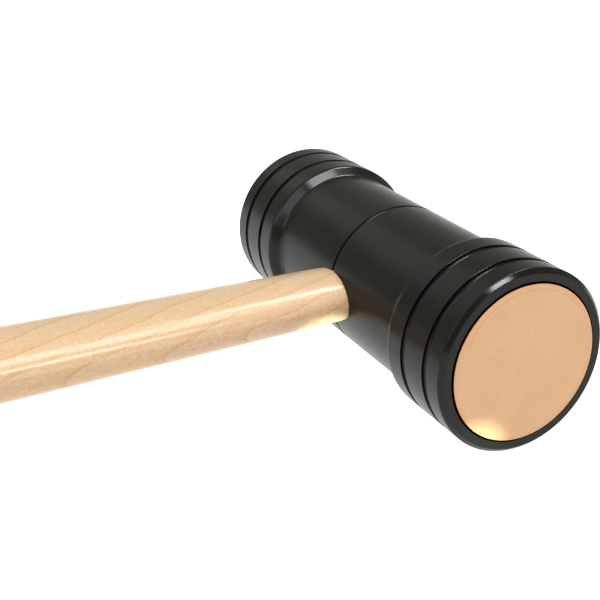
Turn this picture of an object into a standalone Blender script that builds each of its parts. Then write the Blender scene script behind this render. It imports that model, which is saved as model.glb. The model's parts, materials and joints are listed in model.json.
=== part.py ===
"""Tubular bell mallet: a turned black head with two inset leather faces on a wedged oval handle.

The mallet lies as it does on a table: both collars of the head and the butt of the handle touch z = 0.
The head's axis runs along Y and the handle points to -X. All sizes are in metres.
In the mallet's own frame, before it is tilted to lie down, the origin is where the two axes cross.
"""

from math import asin, atan2, cos, hypot, pi, radians, sin, sqrt

import bmesh
import bpy
from mathutils import Vector

MM = 0.001

# Driving dimensions of the head
HEAD_LENGTH = 101.4 * MM
BARREL_DIAMETER = 36.2 * MM
COLLAR_LENGTH = 20.4 * MM
COLLAR_STEP = 1.9 * MM
SHOULDER_RUN = 2.6 * MM
RIM_CHAMFER = 0.9 * MM
RIM_WIDTH = 2.7 * MM
EDGE_BREAK = 0.3 * MM

# Grooves turned into the head, measured from the rims; the last is at mid-length
OUTER_GROOVE_FROM_RIM = 6.0 * MM
INNER_GROOVE_FROM_RIM = 14.3 * MM
COLLAR_GROOVE_WIDTH = 1.6 * MM
COLLAR_GROOVE_DEPTH = 1.0 * MM
CENTRE_GROOVE_WIDTH = 1.0 * MM
CENTRE_GROOVE_DEPTH = 0.6 * MM

# Leather faces
LEATHER_THICKNESS = 5.0 * MM
LEATHER_PROUD = 0.3 * MM
LEATHER_EDGE_RADIUS = 0.3 * MM

# Handle: width runs along the head's axis, thickness across it
HANDLE_REACH = 322.0 * MM
TENON_WIDTH = 18.4 * MM
TENON_THICKNESS = 10.6 * MM
THROAT_AT = 94.0 * MM
THROAT_WIDTH = 22.7 * MM
THROAT_THICKNESS = 13.1 * MM
BELLY_FROM_BUTT = 90.0 * MM
BELLY_WIDTH = 29.6 * MM
BELLY_THICKNESS = 18.2 * MM
BUTT_WIDTH = 27.4 * MM
BUTT_THICKNESS = 17.0 * MM
BUTT_ROUND = 4.5 * MM
BUTT_CROWN = 1.2 * MM
TENON_PROUD = 1.2 * MM
TENON_CHAMFER = 0.5 * MM

# The eye widens towards the back, where the wedges spread the tenon
EYE_FLARE = 0.9 * MM
WOOD_WEDGE_PAST_AXIS = 1.7 * MM
WOOD_WEDGE_HEAD = 3.2 * MM
WOOD_WEDGE_TIP = 1.0 * MM
STEEL_WEDGE_LENGTH = 12.0 * MM
STEEL_WEDGE_HEAD = 1.8 * MM
STEEL_WEDGE_TIP = 0.6 * MM
STEEL_WEDGE_SUNK = 0.3 * MM
STEEL_WEDGE_FROM_SIDE = 4.5 * MM
STEEL_WEDGE_SIDE_WOOD = 0.9 * MM
WEDGE_EDGE = 0.15 * MM

# Clearance between pieces that seat on each other
FIT_GAP = 0.3 * MM
CUT_MARGIN = 6.0 * MM

# Facets
HEAD_SIDES = 96
CORNER_STEPS = 4
OVAL_SIDES = 48
HANDLE_STATIONS = 24
BUTT_STEPS = 5

HALF_HEAD = HEAD_LENGTH / 2
BARREL_R = BARREL_DIAMETER / 2
COLLAR_R = BARREL_R + COLLAR_STEP
SHOULDER_AT = HALF_HEAD - COLLAR_LENGTH
LEATHER_SEAT_R = COLLAR_R - RIM_WIDTH
LEATHER_SEAT_DEPTH = LEATHER_THICKNESS - LEATHER_PROUD + FIT_GAP
LEATHER_R = LEATHER_SEAT_R - FIT_GAP
TENON_END = BARREL_R + TENON_PROUD
WOOD_WEDGE_LENGTH = TENON_END + WOOD_WEDGE_PAST_AXIS
STEEL_WEDGE_PLACE = TENON_WIDTH / 2 - STEEL_WEDGE_FROM_SIDE


def remove_everything():
    """Empty the scene without closing the file that this runs from."""
    for thing in list(bpy.data.objects):
        bpy.data.objects.remove(thing, do_unlink=True)
    for group in list(bpy.data.collections):
        bpy.data.collections.remove(group)


def new_collection(name):
    group = bpy.data.collections.new(name)
    bpy.context.scene.collection.children.link(group)
    return group


def material(name, colour, roughness, metallic=0.0):
    """A Principled material of one colour."""
    made = bpy.data.materials.new(name)
    made.use_nodes = True
    shader = made.node_tree.nodes["Principled BSDF"]
    shader.inputs["Base Color"].default_value = (*colour, 1.0)
    shader.inputs["Roughness"].default_value = roughness
    shader.inputs["Metallic"].default_value = metallic
    return made


def arc(centre, radius, start, end, steps):
    """Points of a circular arc in the (radius, height) plane; angles in degrees."""
    turns = [radians(start + (end - start) * i / steps) for i in range(steps + 1)]
    return [(centre[0] + radius * cos(t), centre[1] + radius * sin(t)) for t in turns]


def add_mesh_object(name, mesh, group, surface, parent):
    made = bpy.data.objects.new(name, mesh)
    group.objects.link(made)
    made.parent = parent
    if surface is not None:
        mesh.materials.append(surface)
    return made


def turned(name, profile, group, surface, parent):
    """A turned piece: the profile, outer side from top to bottom, is swept round local Z."""
    mesh = bpy.data.meshes.new(name)
    mesh.from_pydata([(r, 0.0, z) for r, z in profile], [(i, i + 1) for i in range(len(profile) - 1)], [])
    made = add_mesh_object(name, mesh, group, surface, parent)
    sweep = made.modifiers.new("turn", "SCREW")
    sweep.axis = "Z"
    sweep.angle = 2 * pi
    sweep.steps = HEAD_SIDES
    sweep.render_steps = HEAD_SIDES
    sweep.use_merge_vertices = True
    sweep.merge_threshold = 0.01 * MM
    sweep.use_smooth_shade = True
    return made


def lofted(name, sections, group, surface, parent):
    """A closed skin over rings of points that run the same way round, with a flat cap at each end."""
    shape = bmesh.new()
    rings = [[shape.verts.new(point) for point in ring] for ring in sections]
    for near, far in zip(rings, rings[1:]):
        for i in range(len(near)):
            j = (i + 1) % len(near)
            shape.faces.new((near[i], near[j], far[j], far[i]))
    shape.faces.new(rings[0])
    shape.faces.new(rings[-1])
    bmesh.ops.recalc_face_normals(shape, faces=shape.faces)
    mesh = bpy.data.meshes.new(name)
    shape.to_mesh(mesh)
    shape.free()
    mesh.shade_smooth()
    mesh.set_sharp_from_angle(angle=radians(35))
    return add_mesh_object(name, mesh, group, surface, parent)


def tapered_block(name, length, head, tip, group, surface, parent):
    """A wedge: its head, a (Y size, Z size) pair, is at local x = 0 and its tip at x = -length."""
    shape = bmesh.new()
    bmesh.ops.create_cube(shape, size=1.0)
    for corner in shape.verts:
        at_tip = corner.co.x < 0
        size_y, size_z = tip if at_tip else head
        corner.co = Vector((-length if at_tip else 0.0, corner.co.y * size_y, corner.co.z * size_z))
    mesh = bpy.data.meshes.new(name)
    shape.to_mesh(mesh)
    shape.free()
    return add_mesh_object(name, mesh, group, surface, parent)


def cut(piece, tool):
    """Take a cutter's shape away from a piece."""
    tool.hide_render = True
    tool.display_type = "WIRE"
    slot = piece.modifiers.new("cut_" + tool.name, "BOOLEAN")
    slot.operation = "DIFFERENCE"
    slot.solver = "EXACT"
    slot.object = tool


def round_edges(piece, width):
    edge = piece.modifiers.new("edges", "BEVEL")
    edge.width = width
    edge.segments = 1
    edge.limit_method = "ANGLE"
    edge.angle_limit = radians(40)


def ease(a, b, slope_a, slope_b, span, along):
    """Cubic curve from a to b over a span, with the given slopes at its ends."""
    t = along / span
    rise = (2 * t ** 3 - 3 * t ** 2 + 1) * a + (3 * t ** 2 - 2 * t ** 3) * b
    lean = (t ** 3 - 2 * t ** 2 + t) * slope_a + (t ** 3 - t ** 2) * slope_b
    return rise + span * lean


def handle_half_size(along, tenon, throat, belly, butt):
    """Half of a handle size at a distance from the head's axis: throat, belly, then a slimmer butt."""
    belly_at = HANDLE_REACH - BELLY_FROM_BUTT
    neck_slope = (throat - tenon) / THROAT_AT
    if along <= THROAT_AT:
        return (tenon + neck_slope * max(along, 0.0)) / 2
    if along <= belly_at:
        return ease(throat, belly, neck_slope, 0.0, belly_at - THROAT_AT, along - THROAT_AT) / 2
    return ease(belly, butt, 0.0, 2 * (butt - belly) / BELLY_FROM_BUTT, BELLY_FROM_BUTT, along - belly_at) / 2


def half_width(along):
    return handle_half_size(along, TENON_WIDTH, THROAT_WIDTH, BELLY_WIDTH, BUTT_WIDTH)


def half_thickness(along):
    """Half the thickness, which flares inside the back half of the eye."""
    flare = EYE_FLARE * max(-along, 0.0) / BARREL_R
    return handle_half_size(along, TENON_THICKNESS, THROAT_THICKNESS, BELLY_THICKNESS, BUTT_THICKNESS) + flare


def oval(along, inset=0.0):
    """One oval section of the handle, square to its length; a negative inset makes it larger."""
    wide = half_width(along) - inset
    thick = half_thickness(along) - inset
    turns = [2 * pi * i / OVAL_SIDES for i in range(OVAL_SIDES)]
    return [(-along, wide * cos(t), thick * sin(t)) for t in turns]


def handle_sections():
    """Sections from the tenon's end, at the back of the head, to the rounded butt."""
    sections = [oval(-TENON_END, TENON_CHAMFER), oval(-TENON_END + TENON_CHAMFER)]
    first = 0.0
    last = HANDLE_REACH - BUTT_CROWN - BUTT_ROUND
    for i in range(HANDLE_STATIONS):
        sections.append(oval(first + (last - first) * i / (HANDLE_STATIONS - 1)))
    for i in range(1, BUTT_STEPS + 1):
        turn = radians(90 * i / BUTT_STEPS)
        section = oval(last + BUTT_ROUND * sin(turn), BUTT_ROUND * (1 - cos(turn)))
        sections.append(section)
    crown = [(-HANDLE_REACH, y / 2, z / 2) for x, y, z in sections[-1]]
    return sections + [crown]


def resting_tilt():
    """How far the handle dips until its underside meets the plane under the collars."""
    tilts = []
    for step in range(HANDLE_STATIONS):
        along = HANDLE_REACH - BUTT_CROWN - BUTT_ROUND - BELLY_FROM_BUTT * step / HANDLE_STATIONS
        thick = half_thickness(along)
        tilts.append(asin(COLLAR_R / hypot(along, thick)) - atan2(thick, along))
    return min(tilts)


def groove(at, radius, width, depth):
    """A round-bottomed groove in a profile that runs down the outer side of a cylinder."""
    points = [(radius, at + width / 2)]
    for i in range(1, CORNER_STEPS):
        turn = pi * i / CORNER_STEPS
        points.append((radius - depth * sin(turn), at + width / 2 * cos(turn)))
    return points + [(radius, at - width / 2)]


def collar_profile():
    """One end of the head, from the axis in the leather's seat to the foot of the shoulder."""
    seat_floor = HALF_HEAD - LEATHER_SEAT_DEPTH
    points = [(0.0, seat_floor), (LEATHER_SEAT_R, seat_floor), (LEATHER_SEAT_R, HALF_HEAD)]
    points += [(COLLAR_R - RIM_CHAMFER, HALF_HEAD), (COLLAR_R, HALF_HEAD - RIM_CHAMFER)]
    for from_rim in (OUTER_GROOVE_FROM_RIM, INNER_GROOVE_FROM_RIM):
        points += groove(HALF_HEAD - from_rim, COLLAR_R, COLLAR_GROOVE_WIDTH, COLLAR_GROOVE_DEPTH)
    lean = atan2(COLLAR_STEP, SHOULDER_RUN)
    points += [(COLLAR_R, SHOULDER_AT + EDGE_BREAK)]
    points += [(COLLAR_R - EDGE_BREAK * sin(lean), SHOULDER_AT - EDGE_BREAK * cos(lean))]
    return points + [(BARREL_R, SHOULDER_AT - SHOULDER_RUN)]


def make_head(group, tools, surface, parent):
    """The turned head with the oval eye for the handle."""
    upper = collar_profile()
    lower = [(r, -z) for r, z in reversed(upper)]
    profile = upper + groove(0.0, BARREL_R, CENTRE_GROOVE_WIDTH, CENTRE_GROOVE_DEPTH) + lower
    head = turned("head_body", profile, group, surface, parent)
    head.rotation_euler = (radians(90), 0.0, 0.0)
    stops = [-TENON_END - CUT_MARGIN, 0.0, BARREL_R + CUT_MARGIN]
    eye = lofted("eye_cutter", [oval(s, -FIT_GAP) for s in stops], tools, None, parent)
    cut(head, eye)
    return head


def make_leather_face(name, turn, group, surface, parent):
    """A leather disc in its seat, standing a little proud of the rim."""
    top = LEATHER_THICKNESS
    corner = (LEATHER_R - LEATHER_EDGE_RADIUS, top - LEATHER_EDGE_RADIUS)
    profile = [(0.0, top)] + arc(corner, LEATHER_EDGE_RADIUS, 90, 0, CORNER_STEPS)
    profile += [(LEATHER_R, 0.0), (0.0, 0.0)]
    seat = HALF_HEAD + LEATHER_PROUD - LEATHER_THICKNESS
    face = turned(name, profile, group, surface, parent)
    face.rotation_euler = (turn, 0.0, 0.0)
    face.location = (0.0, -seat if turn > 0 else seat, 0.0)
    return face


def wood_wedge_sizes(grow):
    """Head and tip of the wooden wedge as (Y size, Z size) pairs, grown on every side."""
    reach = half_thickness(-TENON_END)
    across = TENON_WIDTH * sqrt(1 - (WOOD_WEDGE_HEAD / 2 / reach) ** 2)
    head = (across + 2 * grow, WOOD_WEDGE_HEAD + 2 * grow)
    tip = (across + 2 * grow, WOOD_WEDGE_TIP + 2 * grow)
    return head, tip


def steel_wedge_sizes(grow):
    """Head and tip of a steel wedge as (Y size, Z size) pairs, grown on every side.

    The wedge is as tall as the oval allows at the bottom of its slot, where the tenon is thinnest.
    """
    bottom = -(TENON_END - STEEL_WEDGE_SUNK - STEEL_WEDGE_LENGTH - FIT_GAP)
    outer_side = STEEL_WEDGE_PLACE + STEEL_WEDGE_HEAD / 2 + FIT_GAP
    room = half_thickness(bottom) * sqrt(1 - (outer_side / half_width(bottom)) ** 2)
    across = 2 * (room - FIT_GAP - STEEL_WEDGE_SIDE_WOOD)
    head = (STEEL_WEDGE_HEAD + 2 * grow, across + 2 * grow)
    tip = (STEEL_WEDGE_TIP + 2 * grow, across + 2 * grow)
    return head, tip


def widened_past_head(head, tip, length, extra):
    """The head size of a wedge that is carried on past its head by extra, at the same taper."""
    return tuple(h + (h - t) * extra / length for h, t in zip(head, tip))


def wedge_cutter(name, length, sizes, sunk, tools, parent):
    """The space that a driven wedge takes up: its own shape with the fit gap, open at the back."""
    head, tip = sizes
    mouth = widened_past_head(head, tip, length, CUT_MARGIN)
    tool = tapered_block(name, length + FIT_GAP + CUT_MARGIN, mouth, tip, tools, None, parent)
    tool.location = (TENON_END - sunk + CUT_MARGIN, 0.0, 0.0)
    return tool


def make_handle_and_wedges(group, tools, wood, wedge_wood, steel, parent):
    """The handle, the wooden wedge in its kerf and the two steel wedges driven across it."""
    handle = lofted("handle", handle_sections(), group, wood, parent)
    head, tip = wood_wedge_sizes(0.0)
    wooden = tapered_block("wooden_wedge", WOOD_WEDGE_LENGTH, head, tip, group, wedge_wood, parent)
    wooden.location = (TENON_END, 0.0, 0.0)
    kerf_head, kerf_tip = wood_wedge_sizes(FIT_GAP)
    kerf_sizes = ((2 * TENON_WIDTH, kerf_head[1]), (2 * TENON_WIDTH, kerf_tip[1]))
    cut(handle, wedge_cutter("kerf_cutter", WOOD_WEDGE_LENGTH, kerf_sizes, 0.0, tools, parent))
    for side, place in (("front", -STEEL_WEDGE_PLACE), ("rear", STEEL_WEDGE_PLACE)):
        head, tip = steel_wedge_sizes(0.0)
        wedge = tapered_block("steel_wedge_" + side, STEEL_WEDGE_LENGTH, head, tip, group, steel, parent)
        wedge.location = (TENON_END - STEEL_WEDGE_SUNK, place, 0.0)
        round_edges(wedge, WEDGE_EDGE)
        slot_sizes = steel_wedge_sizes(FIT_GAP)
        name = "slot_cutter_" + side
        slot = wedge_cutter(name, STEEL_WEDGE_LENGTH, slot_sizes, STEEL_WEDGE_SUNK, tools, parent)
        slot.location.y = place
        cut(handle, slot)
        cut(wooden, slot)
    return handle


def main():
    remove_everything()
    group = new_collection("tubular_bell_mallet")
    tools = new_collection("cutters")
    plastic = material("black_acetal", (0.018, 0.018, 0.019), 0.32)
    leather = material("natural_leather", (0.78, 0.47, 0.25), 0.55)
    wood = material("lacquered_beech", (0.84, 0.62, 0.37), 0.35)
    wedge_wood = material("hornbeam", (0.70, 0.55, 0.36), 0.6)
    steel = material("steel", (0.45, 0.45, 0.46), 0.4, 1.0)

    tilt = resting_tilt()
    mallet = bpy.data.objects.new("mallet", None)
    group.objects.link(mallet)
    mallet.rotation_euler = (0.0, -tilt, 0.0)
    mallet.location = ((HANDLE_REACH * cos(tilt) - COLLAR_R) / 2, 0.0, COLLAR_R)

    make_head(group, tools, plastic, mallet)
    make_leather_face("leather_face_front", radians(90), group, leather, mallet)
    make_leather_face("leather_face_rear", radians(-90), group, leather, mallet)
    make_handle_and_wedges(group, tools, wood, wedge_wood, steel, mallet)


main()
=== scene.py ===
"""Looks of the tubular bell mallet: fine turned head, leather faces, lacquered handle, light and camera.

Shapes are drawn in the mallet's own frame, in metres: the head's axis is Y, the handle runs to -X, and
the origin is where the two axes cross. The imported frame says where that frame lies.
"""
import json
from math import cos, pi, radians, sin

import bmesh
import bpy
from mathutils import Matrix, Vector


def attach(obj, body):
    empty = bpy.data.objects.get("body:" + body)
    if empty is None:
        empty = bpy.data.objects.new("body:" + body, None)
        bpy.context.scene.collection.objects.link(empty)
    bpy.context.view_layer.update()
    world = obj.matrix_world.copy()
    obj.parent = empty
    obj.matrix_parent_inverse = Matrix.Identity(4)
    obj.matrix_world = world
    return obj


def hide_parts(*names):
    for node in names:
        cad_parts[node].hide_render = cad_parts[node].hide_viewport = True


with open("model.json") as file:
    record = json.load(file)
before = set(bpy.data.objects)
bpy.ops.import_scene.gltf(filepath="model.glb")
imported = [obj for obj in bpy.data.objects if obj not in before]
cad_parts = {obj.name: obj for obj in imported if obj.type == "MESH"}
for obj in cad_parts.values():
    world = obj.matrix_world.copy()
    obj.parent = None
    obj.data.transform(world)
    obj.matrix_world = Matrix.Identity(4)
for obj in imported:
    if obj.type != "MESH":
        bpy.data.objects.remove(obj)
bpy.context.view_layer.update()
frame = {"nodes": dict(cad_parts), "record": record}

MM = 0.001

# Head, as in the CAD solids
HALF_HEAD = 50.7 * MM
BARREL_R = 18.1 * MM
COLLAR_R = 20.0 * MM
SHOULDER_AT = 30.3 * MM
SHOULDER_FOOT = 27.7 * MM
RIM_CHAMFER = 0.9 * MM
GROOVES = (44.7 * MM, 36.4 * MM)
GROOVE_WIDTH = 1.6 * MM
GROOVE_DEPTH = 1.0 * MM
CENTRE_GROOVE_WIDTH = 1.0 * MM
CENTRE_GROOVE_DEPTH = 0.55 * MM
LIP = 0.04 * MM
SEAT_R = 17.3 * MM
SEAT_DEPTH = 4.5 * MM

# Small roundings that the CAD solids leave out, and the largest share of a side that one may take
CORNER_R = 0.18 * MM
SHOULDER_CORNER_R = 0.5 * MM
LONGEST_CUT = 0.45

# Leather faces
LEATHER_R = 17.0 * MM
LEATHER_TOP = 51.0 * MM
LEATHER_BACK = 46.0 * MM
LEATHER_EDGE_R = 0.25 * MM

# Handle
REACH = 322.0 * MM
TENON = (18.4 * MM, 10.6 * MM)
THROAT = (22.7 * MM, 13.1 * MM)
BELLY = (29.6 * MM, 18.2 * MM)
BUTT = (27.4 * MM, 17.0 * MM)
THROAT_AT = 94.0 * MM
BELLY_FROM_BUTT = 90.0 * MM
BUTT_ROUND = 4.5 * MM
BUTT_CROWN = 1.2 * MM
BUTT_FLAT_SHARE = 0.15
TENON_END = 19.3 * MM
TENON_CHAMFER = 0.5 * MM
EYE_FLARE = 0.9 * MM
EYE_GAP = 0.12 * MM

# Wedges, as in the CAD solids
KERF_GAP = 0.12 * MM
WOOD_WEDGE = dict(length=21.0 * MM, head=3.2 * MM, tip=1.0 * MM)
STEEL_WEDGE = dict(length=12.0 * MM, head=1.8 * MM, tip=0.6 * MM)
STEEL_WEDGE_ACROSS = 6.24 * MM
STEEL_WEDGE_PITCH = 9.4 * MM
STEEL_WEDGE_SUNK = 0.3 * MM
CUT_MARGIN = 6.0 * MM

# Fineness of the meshes
SUPPORT = 0.1 * MM
SHARP_ANGLE = radians(32)
LATHE_SIDES = 288
GROOVE_STEPS = 10
LEATHER_RINGS = (0.25, 0.5, 0.75, 0.9)
OVAL_SIDES = 128
HANDLE_STATIONS = 150
BUTT_STEPS = 12
CROWN_STEPS = 6

# Marks on the leather by distance from the disc's centre: a painted shade line, the warm edge and the fall of
# the face; and the cut side's painted shade by distance from mid-head
SHADE_LINE_RADII = (15.5 * MM, 15.8 * MM, 16.1 * MM)
WARM_EDGE = (16.0 * MM, 16.7 * MM)
EDGE_FALL = (15.8 * MM, 17.0 * MM)
SHADED_SIDE_EDGE = (50.80 * MM, 50.89 * MM)
SHADED_SIDE_RAGGED = 0.12 * MM

# Camera, in the mallet's own frame: fitted to the head's circles in the photograph
CAMERA_AT = Vector((-115.78, -199.14, 94.14)) * MM
CAMERA_AIM = Vector((-3.51, -0.91, -5.75)) * MM
CAMERA_ROLL = -0.122
CAMERA_LENS = 62.703
CAMERA_SHIFT = (-0.14429, 0.00972)
SENSOR = 36.0

# Light
BOX_DISTANCE = 1.2
SPOT_RADIUS = 1.0 * MM
WORLD_COLOUR = (1.0, 1.0, 0.93, 1.0)
WORLD_GLOW = 0.36
FLOOR_HALF_SIZE = 6.0
FLOOR_GLOW = 0.86

mounts = {m["name"]: m for m in frame["record"]["mounts"]}
front = Vector(mounts["strike_face_front"]["pos_m"])
rear = Vector(mounts["strike_face_rear"]["pos_m"])
along_handle = Vector(mounts["handle_butt"]["axis"]).normalized()
x_axis = -along_handle
y_axis = Vector((0.0, 1.0, 0.0))
z_axis = x_axis.cross(y_axis)
mallet = Matrix((x_axis, y_axis, z_axis)).transposed().to_4x4()
mallet.translation = (front + rear) / 2


def shade(mesh):
    mesh.shade_smooth()
    mesh.set_sharp_from_angle(angle=SHARP_ANGLE)


def make_object(name, shape):
    """A smooth object, in the mallet's frame, from a bmesh that is used up here."""
    mesh = bpy.data.meshes.new(name)
    shape.to_mesh(mesh)
    shape.free()
    shade(mesh)
    made = bpy.data.objects.new(name, mesh)
    bpy.context.scene.collection.objects.link(made)
    made.matrix_world = mallet
    return made


def supported(profile):
    """Add points close to both ends of each long run, so that smooth shading stays at the corners."""
    points = [profile[0]]
    for start, end in zip(profile, profile[1:]):
        a, b = Vector(start), Vector(end)
        step = (b - a).normalized() * SUPPORT
        if (b - a).length > 4 * SUPPORT:
            points += [tuple(a + step), tuple(b - step)]
        points.append(end)
    return points


def lathe(name, profile):
    """Sweep (radius, y) points round the Y axis; radius 0 at an end closes the shape there."""
    shape = bmesh.new()
    rings = []
    for r, y in supported(profile):
        if r == 0:
            rings.append([shape.verts.new((0.0, y, 0.0))])
        else:
            turns = [2 * pi * i / LATHE_SIDES for i in range(LATHE_SIDES)]
            rings.append([shape.verts.new((r * cos(t), y, r * sin(t))) for t in turns])
    for a, b in zip(rings, rings[1:]):
        for i in range(LATHE_SIDES):
            j = (i + 1) % LATHE_SIDES
            corners = [a[i % len(a)], a[j % len(a)], b[j % len(b)], b[i % len(b)]]
            unique = list(dict.fromkeys(corners))
            if len(unique) > 2:
                shape.faces.new(unique)
    bmesh.ops.recalc_face_normals(shape, faces=shape.faces)
    return make_object(name, shape)


def loft(name, sections):
    """A closed skin over rings that have the same number of points."""
    shape = bmesh.new()
    rings = [[shape.verts.new(p) for p in ring] for ring in sections]
    for a, b in zip(rings, rings[1:]):
        for i in range(len(a)):
            j = (i + 1) % len(a)
            shape.faces.new((a[i], a[j], b[j], b[i]))
    shape.faces.new(rings[0])
    shape.faces.new(rings[-1])
    bmesh.ops.recalc_face_normals(shape, faces=shape.faces)
    return make_object(name, shape)


def wedge_cutter(name, length, head, tip, at):
    """A wedge-shaped cutter; head and tip are (Y size, Z size), the head faces +X at x = at[0]."""
    shape = bmesh.new()
    bmesh.ops.create_cube(shape, size=1.0)
    for corner in shape.verts:
        tail = corner.co.x < 0
        x = -length if tail else 0.0
        size_y, size_z = tip if tail else head
        corner.co = Vector((x, corner.co.y * size_y, corner.co.z * size_z)) + Vector(at)
    return make_object(name, shape)


def carve(piece, cutters):
    """Cut the cutters' shapes out of a piece for good, and remove the cutters."""
    for cutter in cutters:
        step = piece.modifiers.new("cut", "BOOLEAN")
        step.operation = "DIFFERENCE"
        step.solver = "EXACT"
        step.object = cutter
    bpy.context.view_layer.update()
    shown = piece.evaluated_get(bpy.context.evaluated_depsgraph_get())
    mesh = bpy.data.meshes.new_from_object(shown)
    piece.modifiers.clear()
    piece.data = mesh
    shade(mesh)
    for cutter in cutters:
        bpy.data.objects.remove(cutter, do_unlink=True)


def rounded(corners, radius, steps=4):
    """A (radius, y) outline with each inner corner rounded; steps is the fineness of each rounding."""
    points = [corners[0]]
    for before, corner, after in zip(corners, corners[1:], corners[2:]):
        here = Vector(corner)
        back, ahead = Vector(before) - here, Vector(after) - here
        size = min(radius, LONGEST_CUT * back.length, LONGEST_CUT * ahead.length)
        start = here + back.normalized() * size
        end = here + ahead.normalized() * size
        for i in range(steps + 1):
            t = i / steps
            points.append(tuple(start * (1 - t) ** 2 + here * 2 * t * (1 - t) + end * t ** 2))
    return points + [corners[-1]]


def groove(at, radius, width, depth):
    """A round-bottomed groove, from the side nearer the rim to the other."""
    points = [(radius, at + width / 2 + LIP)]
    for i in range(GROOVE_STEPS + 1):
        turn = pi * i / GROOVE_STEPS
        points.append((radius - LIP - (depth - LIP) * sin(turn), at + width / 2 * cos(turn)))
    return points + [(radius, at - width / 2 - LIP)]


def head_profile():
    """The outer side of the head, from one seat for the leather to the other."""
    seat = [(0.0, HALF_HEAD - SEAT_DEPTH), (SEAT_R, HALF_HEAD - SEAT_DEPTH), (SEAT_R, HALF_HEAD)]
    rim = [(COLLAR_R - RIM_CHAMFER, HALF_HEAD), (COLLAR_R, HALF_HEAD - RIM_CHAMFER)]
    upper = rounded(seat + rim + [(COLLAR_R, GROOVES[0] + GROOVE_WIDTH)], CORNER_R)
    for at in GROOVES:
        upper += groove(at, COLLAR_R, GROOVE_WIDTH, GROOVE_DEPTH)
    shoulder = [(COLLAR_R, GROOVES[1] - GROOVE_WIDTH), (COLLAR_R, SHOULDER_AT), (BARREL_R, SHOULDER_FOOT)]
    upper += rounded(shoulder + [(BARREL_R, SHOULDER_FOOT - 2 * MM)], SHOULDER_CORNER_R, 6)
    lower = [(r, -y) for r, y in reversed(upper)]
    return upper + groove(0.0, BARREL_R, CENTRE_GROOVE_WIDTH, CENTRE_GROOVE_DEPTH) + lower


def ease(a, b, slope_a, slope_b, span, along):
    """A cubic from a to b over a span, with a slope at each end."""
    t = along / span
    rise = (2 * t ** 3 - 3 * t ** 2 + 1) * a + (3 * t ** 2 - 2 * t ** 3) * b
    return rise + span * ((t ** 3 - 2 * t ** 2 + t) * slope_a + (t ** 3 - t ** 2) * slope_b)


def half_size(along, which):
    """Half the handle's width (0) or thickness (1) at a distance from the head's axis."""
    tenon, throat, belly, butt = (size[which] for size in (TENON, THROAT, BELLY, BUTT))
    belly_at = REACH - BELLY_FROM_BUTT
    slope = (throat - tenon) / THROAT_AT
    if along <= THROAT_AT:
        return (tenon + slope * max(along, 0.0)) / 2
    if along <= belly_at:
        return ease(throat, belly, slope, 0.0, belly_at - THROAT_AT, along - THROAT_AT) / 2
    slope = 2 * (butt - belly) / BELLY_FROM_BUTT
    return ease(belly, butt, 0.0, slope, BELLY_FROM_BUTT, along - belly_at) / 2


def oval(along, inset=0.0):
    """The handle's section at a distance from the head's axis, smaller by an inset all round."""
    # Behind the axis the tenon flares towards its end
    flare = EYE_FLARE * max(-along, 0.0) / BARREL_R
    wide = half_size(along, 0) - inset
    thick = half_size(along, 1) + flare - inset
    turns = [2 * pi * i / OVAL_SIDES for i in range(OVAL_SIDES)]
    return [(-along, wide * cos(t), thick * sin(t)) for t in turns]


def make_head():
    """The turned head, with the eye for the handle cut through it."""
    head = lathe("head", head_profile())
    places = [-TENON_END - CUT_MARGIN, -TENON_END / 2, 0.0, BARREL_R + CUT_MARGIN]
    carve(head, [loft("eye", [oval(place, -EYE_GAP) for place in places])])
    return head


def make_leather(name, side):
    """A disc with a rounded edge, at the near (-1) or the far (1) end of the head."""
    face = [(LEATHER_R * share, LEATHER_TOP) for share in (0.0, *LEATHER_RINGS, 1.0)]
    outline = face + [(LEATHER_R, LEATHER_BACK), (0.0, LEATHER_BACK)]
    profile = [(r, y * side) for r, y in rounded(outline, LEATHER_EDGE_R, 6)]
    return lathe(name, profile)


def handle_sections():
    """Sections from the end of the tenon to the flat in the middle of the crowned butt."""
    last = REACH - BUTT_CROWN - BUTT_ROUND
    sections = [oval(-TENON_END, TENON_CHAMFER), oval(-TENON_END + TENON_CHAMFER)]
    sections += [oval(last * i / HANDLE_STATIONS) for i in range(HANDLE_STATIONS + 1)]
    for i in range(1, BUTT_STEPS + 1):
        turn = pi / 2 * i / BUTT_STEPS
        sections.append(oval(last + BUTT_ROUND * sin(turn), BUTT_ROUND * (1 - cos(turn))))
    rim = sections[-1]
    for i in range(1, CROWN_STEPS + 1):
        k = 1 - (1 - BUTT_FLAT_SHARE) * i / CROWN_STEPS
        x = -(REACH - BUTT_CROWN * k * k)
        sections.append([(x, y * k, z * k) for _, y, z in rim])
    return sections


def seat_sizes(wedge):
    """Length, and thickness at the mouth and at the tip, of the cut that takes a wedge."""
    grow = (wedge["head"] - wedge["tip"]) * CUT_MARGIN / wedge["length"]
    length = wedge["length"] + CUT_MARGIN + KERF_GAP
    return length, wedge["head"] + grow + 2 * KERF_GAP, wedge["tip"] + 2 * KERF_GAP


def wedge_cutters():
    """Cutters for the kerf of the wooden wedge and for the slots of the two steel wedges."""
    mouth = TENON_END + CUT_MARGIN
    wide = 3 * TENON[0]
    length, head, tip = seat_sizes(WOOD_WEDGE)
    cutters = [wedge_cutter("kerf", length, (wide, head), (wide, tip), (mouth, 0, 0))]
    length, head, tip = seat_sizes(STEEL_WEDGE)
    across = STEEL_WEDGE_ACROSS + 2 * KERF_GAP
    for place in (-STEEL_WEDGE_PITCH / 2, STEEL_WEDGE_PITCH / 2):
        at = (mouth - STEEL_WEDGE_SUNK, place, 0)
        cutters.append(wedge_cutter("slot", length, (head, across), (tip, across), at))
    return cutters


def make_handle():
    handle = loft("grip", handle_sections())
    carve(handle, wedge_cutters())
    return handle


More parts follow.
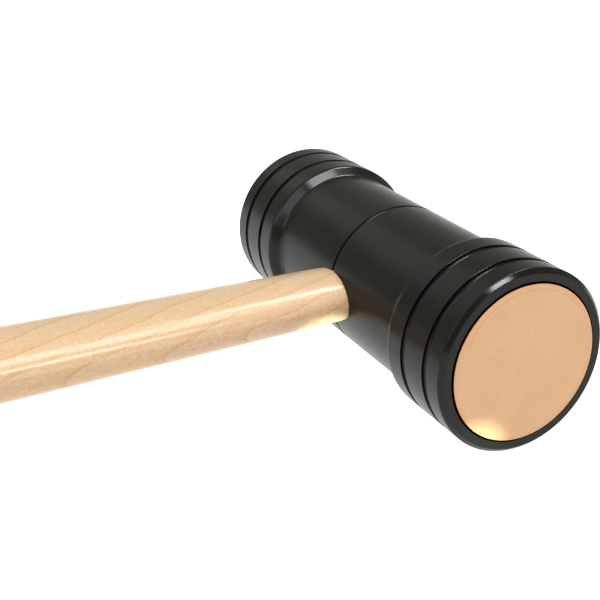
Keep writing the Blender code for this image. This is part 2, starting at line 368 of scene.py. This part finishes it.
class Nodes:
    """A material's node tree with short calls for adding and joining nodes."""

    def __init__(self, name):
        self.material = bpy.data.materials.new(name)
        self.material.use_nodes = True
        self.tree = self.material.node_tree
        self.shader = self.tree.nodes["Principled BSDF"]

    def add(self, kind, **settings):
        node = self.tree.nodes.new(kind)
        for key, value in settings.items():
            setattr(node, key, value)
        return node

    def join(self, output, target):
        self.tree.links.new(output, target)

    def coordinates(self, scale=(1, 1, 1)):
        """Object coordinates stretched by a scale on each axis."""
        place = self.add("ShaderNodeTexCoord")
        mapping = self.add("ShaderNodeMapping")
        mapping.inputs["Scale"].default_value = scale
        self.join(place.outputs["Object"], mapping.inputs["Vector"])
        return mapping.outputs["Vector"]

    def split(self, vector):
        parts = self.add("ShaderNodeSeparateXYZ")
        self.join(vector, parts.inputs[0])
        return parts.outputs

    def noise(self, scale_vector, scale, detail, roughness=0.5):
        node = self.add("ShaderNodeTexNoise")
        node.inputs["Scale"].default_value = scale
        node.inputs["Detail"].default_value = detail
        node.inputs["Roughness"].default_value = roughness
        self.join(self.coordinates(scale_vector), node.inputs["Vector"])
        return node.outputs["Fac"]

    def ramp(self, source, stops):
        """Colours, or one number in place of a colour, at places from 0 to 1."""
        node = self.add("ShaderNodeValToRGB")
        band = node.color_ramp
        while len(band.elements) < len(stops):
            band.elements.new(0.5)
        for element, (place, value) in zip(band.elements, stops):
            colour = value if isinstance(value, tuple) else (value,) * 3
            element.position = place
            element.color = (*colour, 1.0)
        self.join(source, node.inputs["Fac"])
        return node.outputs["Color"]

    def span(self, value, low, high):
        """0 at low, 1 at high, for ranges too narrow for a colour ramp."""
        node = self.add("ShaderNodeMapRange")
        node.inputs["From Min"].default_value = low
        node.inputs["From Max"].default_value = high
        self.join(value, node.inputs["Value"])
        return node.outputs["Result"]

    def mix(self, factor, a, b, blend="MIX"):
        """Mix two colours; each is a colour or a socket."""
        node = self.add("ShaderNodeMix", data_type="RGBA", blend_type=blend)
        if isinstance(factor, float):
            node.inputs["Factor"].default_value = factor
        else:
            self.join(factor, node.inputs["Factor"])
        for value, socket in ((a, node.inputs[6]), (b, node.inputs[7])):
            if isinstance(value, tuple):
                socket.default_value = (*value, 1.0)
            else:
                self.join(value, socket)
        return node.outputs[2]

    def math(self, operation, a, b=0.0):
        """One operation on two values; each is a number or a socket."""
        node = self.add("ShaderNodeMath", operation=operation)
        for value, socket in ((a, node.inputs[0]), (b, node.inputs[1])):
            if isinstance(value, (int, float)):
                socket.default_value = value
            else:
                self.join(value, socket)
        return node.outputs[0]

    def bump(self, height, distance, strength=1.0, under=None):
        node = self.add("ShaderNodeBump")
        node.inputs["Distance"].default_value = distance
        node.inputs["Strength"].default_value = strength
        self.join(height, node.inputs["Height"])
        if under is not None:
            self.join(under, node.inputs["Normal"])
        return node.outputs["Normal"]

    def radius(self):
        """Distance from the head's axis."""
        x, _, z = self.split(self.coordinates())
        return self.math("SQRT", self.math("ADD", self.square(x), self.square(z)))

    def square(self, value):
        return self.math("MULTIPLY", value, value)

    def set(self, **values):
        """Constants on the shader's own sockets."""
        for key, value in values.items():
            self.shader.inputs[key.replace("_", " ")].default_value = value


def black_plastic():
    """Turned acetal: black, with satin round sides, brighter cones and chamfers, and faint rings."""
    m = Nodes("black_acetal")
    black = [(0.3, (0.010, 0.010, 0.0088)), (0.7, (0.014, 0.014, 0.0122))]
    m.join(m.ramp(m.noise((1, 1, 1), 60, 5), black), m.shader.inputs["Base Color"])
    # The share of the normal that points along the head tells cones and chamfers from round sides
    facing = m.add("ShaderNodeTexCoord")
    lean = m.math("ABSOLUTE", m.split(facing.outputs["Normal"])[1])
    satin, cone, chamfer = 0.29, 0.21, 0.19
    finish = m.ramp(lean, [(0.25, satin), (0.5, cone), (0.62, cone), (0.68, chamfer)])
    patches = m.ramp(m.noise((1, 1, 1), 140, 6, 0.6), [(0.3, 0.93), (0.7, 1.0)])
    m.join(m.mix(1.0, finish, patches, "MULTIPLY"), m.shader.inputs["Roughness"])
    rings = m.noise((0.02, 1, 0.02), 5200, 3, 0.7)
    m.join(m.bump(rings, 0.01 * MM, 0.4), m.shader.inputs["Normal"])
    m.set(IOR=1.5)
    return m.material


def natural_leather():
    """Smooth vegetable-tanned leather with a warm edge, a faint painted shade line inside it and a cut side
    painted near black as shade.
    """
    m = Nodes("natural_leather")
    tan = [(0.3, (0.57, 0.368, 0.221)), (0.7, (0.617, 0.409, 0.254))]
    cloud = m.ramp(m.noise((1, 1, 1), 70, 5, 0.6), tan)
    pores = m.noise((1, 1, 1), 2600, 3, 0.6)
    speckle = m.ramp(pores, [(0.35, (0.95, 0.93, 0.91)), (0.6, (1.0, 1.0, 1.0))])
    face = m.mix(1.0, cloud, speckle, "MULTIPLY")
    # Painted shade: a faint dark line inside the edge, on the upper side only
    out = m.radius()
    _, along, height = m.split(m.coordinates())
    inner, middle, outer = SHADE_LINE_RADII
    line = m.math("MULTIPLY", m.span(out, inner, middle), m.span(out, outer, middle))
    painted_shade_line = m.math("MULTIPLY", line, m.span(height, 4 * MM, 12 * MM))
    face = m.mix(m.math("MULTIPLY", painted_shade_line, 0.17), face, (0.30, 0.16, 0.08))
    warm = m.mix(m.span(out, *WARM_EDGE), face, (0.60, 0.36, 0.198))
    # Painted shade: the cut side of the disc, down by the rim, is coloured near black up to a ragged line
    wander = m.math("MULTIPLY", m.noise((1, 1, 1), 900, 3), -SHADED_SIDE_RAGGED)
    ragged = m.math("ADD", m.math("ABSOLUTE", along), wander)
    colour = m.mix(m.span(ragged, *SHADED_SIDE_EDGE), (0.04, 0.015, 0.006), warm)
    m.join(colour, m.shader.inputs["Base Color"])
    grain = m.bump(pores, 0.04 * MM, 0.35)
    soft = m.bump(m.noise((1, 1, 1), 160, 3), 0.3 * MM, 0.25, grain)
    # The face falls away a little towards its edge
    level, low = EDGE_FALL
    m.join(m.bump(m.span(out, low, level), 0.25 * MM, 1.0, soft), m.shader.inputs["Normal"])
    m.set(Roughness=0.5)
    return m.material


def lacquered_wood():
    """Pale hardwood: growth lines drawn out along the grain, short rays and a painted lighter tone on the
    near side, a clear lacquer.
    """
    m = Nodes("lacquered_wood")
    x, y, z = m.split(m.coordinates())
    # A growth layer is a long paraboloid: it crosses the top as an arrow and runs along the sides
    middle_y, middle_z = 8 * MM, 5 * MM
    curve_y, curve_z = 140.0, 210.0
    layers_per_metre = 62.0
    bulge_y = m.math("MULTIPLY", m.square(m.math("SUBTRACT", y, middle_y)), curve_y)
    bulge_z = m.math("MULTIPLY", m.square(m.math("SUBTRACT", z, middle_z)), curve_z)
    bulge = m.math("ADD", bulge_y, bulge_z)
    wander = m.math("MULTIPLY", m.noise((0.5, 1, 1), 90, 3), 12 * MM)
    place = m.math("ADD", m.math("ADD", x, bulge), wander)
    layer = m.math("FRACT", m.math("MULTIPLY", place, layers_per_metre))
    stops = [(0.0, (0.562, 0.432, 0.305)), (0.80, (0.557, 0.416, 0.284)),
             (0.96, (0.53, 0.374, 0.236)), (1.0, (0.498, 0.338, 0.20))]
    body = m.ramp(layer, stops)
    tone = m.ramp(m.noise((0.25, 1, 1), 60, 4), [(0.3, (0.96, 0.95, 0.93)), (0.7, (1.0, 1.0, 1.0))])
    body = m.mix(1.0, body, tone, "MULTIPLY")
    flecks = [(0.38, (0.84, 0.79, 0.74)), (0.60, (1.04, 1.04, 1.03))]
    fleck = m.ramp(m.noise((0.35, 1, 1), 5200, 3, 0.7), flecks)
    body = m.mix(0.8, body, fleck, "MULTIPLY")
    # The near side, from 2.5 mm out and in full from 7.5 mm out, has short rays and a little painted light
    # that makes it lighter
    centimetres_out = m.math("MULTIPLY", y, -100.0)
    side = m.ramp(centimetres_out, [(0.25, 0.0), (0.75, 1.0)])
    painted_lift = m.ramp(m.noise((0.3, 1, 1), 45, 3), [(0.35, (1.04, 1.01, 0.99)), (0.65, (1.12, 1.12, 1.14))])
    body = m.mix(side, body, m.mix(1.0, body, painted_lift, "MULTIPLY"))
    rays = m.ramp(m.noise((0.35, 1, 1), 2400, 2, 0.4), [(0.52, 0.0), (0.68, 1.0)])
    body = m.mix(m.math("MULTIPLY", m.math("MULTIPLY", rays, side), 0.4), body, (0.54, 0.29, 0.14))
    m.join(body, m.shader.inputs["Base Color"])
    m.join(m.bump(m.noise((0.3, 1, 1), 4200, 3), 0.02 * MM, 0.2), m.shader.inputs["Normal"])
    m.set(Roughness=0.5, Specular_IOR_Level=0.25, Coat_Weight=0.7, Coat_Roughness=0.21)
    return m.material


def wedge_wood():
    """Bare hardwood, a little darker than the handle, end grain out."""
    m = Nodes("wedge_wood")
    pores = m.noise((1, 1, 1), 1800, 4, 0.7)
    brown = [(0.35, (0.36, 0.21, 0.10)), (0.65, (0.60, 0.40, 0.22))]
    m.join(m.ramp(pores, brown), m.shader.inputs["Base Color"])
    m.join(m.bump(pores, 0.1 * MM, 0.5), m.shader.inputs["Normal"])
    m.set(Roughness=0.6)
    return m.material


def wedge_steel():
    """Bare steel with marks drawn out along one way."""
    m = Nodes("wedge_steel")
    marks = m.noise((1, 1, 0.1), 2500, 4, 0.7)
    grey = [(0.3, (0.34, 0.33, 0.32)), (0.7, (0.52, 0.52, 0.52))]
    m.join(m.ramp(marks, grey), m.shader.inputs["Base Color"])
    m.join(m.bump(marks, 0.03 * MM, 0.5), m.shader.inputs["Normal"])
    m.set(Roughness=0.38, Metallic=1.0)
    return m.material


def dress(piece, surface, node):
    """Give a piece of this script its material and its body, and hide the CAD node that it stands for."""
    piece.data.materials.clear()
    piece.data.materials.append(surface)
    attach(piece, "root")
    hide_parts(node)


def dress_node(node, surface):
    """Give a CAD solid that stays in view its material."""
    frame["nodes"][node].material_slots[0].material = surface


def make_floor():
    """A wide self-lit sheet at the height that the mallet rests on: pure white, with no shadow."""
    mesh = bpy.data.meshes.new("floor")
    size = FLOOR_HALF_SIZE
    corners = [(-size, -size, 0), (size, -size, 0), (size, size, 0), (-size, size, 0)]
    mesh.from_pydata(corners, [], [(0, 1, 2, 3)])
    floor = bpy.data.objects.new("floor", mesh)
    bpy.context.scene.collection.objects.link(floor)
    m = Nodes("floor")
    m.set(Base_Color=(0.1, 0.1, 0.1, 1.0), Roughness=0.9)
    m.set(Emission_Color=(1.0, 1.0, 1.0, 1.0), Emission_Strength=FLOOR_GLOW)
    mesh.materials.append(m.material)


def hang_lamp(name, lamp, at, target):
    """Put a lamp at one place in the world and aim it at another."""
    made = bpy.data.objects.new(name, lamp)
    bpy.context.scene.collection.objects.link(made)
    made.location = at
    made.rotation_euler = (target - at).to_track_quat("-Z", "Y").to_euler()


def soft_box(name, azimuth, elevation, size, glow):
    """A rectangular soft box that faces the head; size is (width, height), glow is its radiance."""
    lamp = bpy.data.lights.new(name, "AREA")
    lamp.shape = "RECTANGLE"
    lamp.size, lamp.size_y = size
    lamp.energy = pi * size[0] * size[1] * glow
    turn, rise = radians(azimuth), radians(elevation)
    away = Vector((cos(rise) * cos(turn), cos(rise) * sin(turn), sin(rise))) * BOX_DISTANCE
    hang_lamp(name, lamp, mallet.translation + away, mallet.translation)


def spot_light(name, at, target, spread, power, tint):
    """A narrow spot with a soft edge; places are in the mallet's frame, spread is in degrees."""
    lamp = bpy.data.lights.new(name, "SPOT")
    lamp.energy = power
    lamp.color = tint
    lamp.spot_size = radians(spread)
    lamp.spot_blend = 1.0
    lamp.shadow_soft_size = SPOT_RADIUS
    hang_lamp(name, lamp, mallet @ Vector(at), mallet @ Vector(target))


def make_light():
    """Soft boxes where the photograph's highlights need them, and spots for its two burnt-out patches."""
    bpy.context.scene.view_settings.view_transform = "Standard"
    bpy.context.scene.view_settings.look = "High Contrast"
    world = bpy.data.worlds.new("studio")
    bpy.context.scene.world = world
    world.use_nodes = True
    backdrop = world.node_tree.nodes["Background"].inputs
    backdrop["Color"].default_value = WORLD_COLOUR
    backdrop["Strength"].default_value = WORLD_GLOW
    soft_box("key", -83, 55, (0.4, 0.14), 14.5)
    soft_box("right", 25, 63, (0.14, 0.5), 13.5)
    soft_box("overhead", -90, 83, (0.7, 0.34), 6.5)
    soft_box("back", 115, 42, (0.9, 0.7), 0.34)
    soft_box("back_right", 60, 8, (0.7, 0.25), 0.25)
    soft_box("left", -165, 46, (0.4, 0.75), 1.6)
    soft_box("left_low", 170, 22, (0.8, 0.4), 1.2)
    soft_box("front_low", -78, 20, (0.7, 0.4), 1.5)
    low_on_leather = (-0.0122, -0.051, -0.0184)
    under_neck = (-0.0235, -0.008, -0.0096)
    spot_light("leather_glint", (-0.10, -0.38, 0.03), low_on_leather, 3.3, 7.5, (0.8, 1.0, 0.75))
    spot_light("neck_glint", (-0.12, -0.35, -0.01), under_neck, 3.4, 14.0, (0.9, 1.0, 0.72))


def make_camera():
    """The photograph's camera; the lens shift stands for the photograph's crop."""
    lens = bpy.data.cameras.new("camera")
    lens.lens = CAMERA_LENS
    lens.sensor_width = SENSOR
    lens.sensor_fit = "HORIZONTAL"
    lens.shift_x, lens.shift_y = CAMERA_SHIFT
    lens.clip_start = 0.01
    lens.clip_end = 30.0
    camera = bpy.data.objects.new("camera", lens)
    bpy.context.scene.collection.objects.link(camera)
    look = (CAMERA_AIM - CAMERA_AT).normalized()
    side = look.cross(Vector((0, 0, 1))).normalized()
    up = side.cross(look)
    roll = radians(CAMERA_ROLL)
    up, side = up * cos(roll) + side * sin(roll), side * cos(roll) - up * sin(roll)
    pose = Matrix((side, up, -look)).transposed().to_4x4()
    pose.translation = CAMERA_AT
    camera.matrix_world = mallet @ pose
    bpy.context.scene.camera = camera


dress(make_head(), black_plastic(), "head_body")
leather = natural_leather()
dress(make_leather("front_leather", -1), leather, "leather_face_front")
dress(make_leather("rear_leather", 1), leather, "leather_face_rear")
dress(make_handle(), lacquered_wood(), "handle")
dress_node("wooden_wedge", wedge_wood())
steel = wedge_steel()
dress_node("steel_wedge_front", steel)
dress_node("steel_wedge_rear", steel)
make_floor()
make_light()
make_camera()
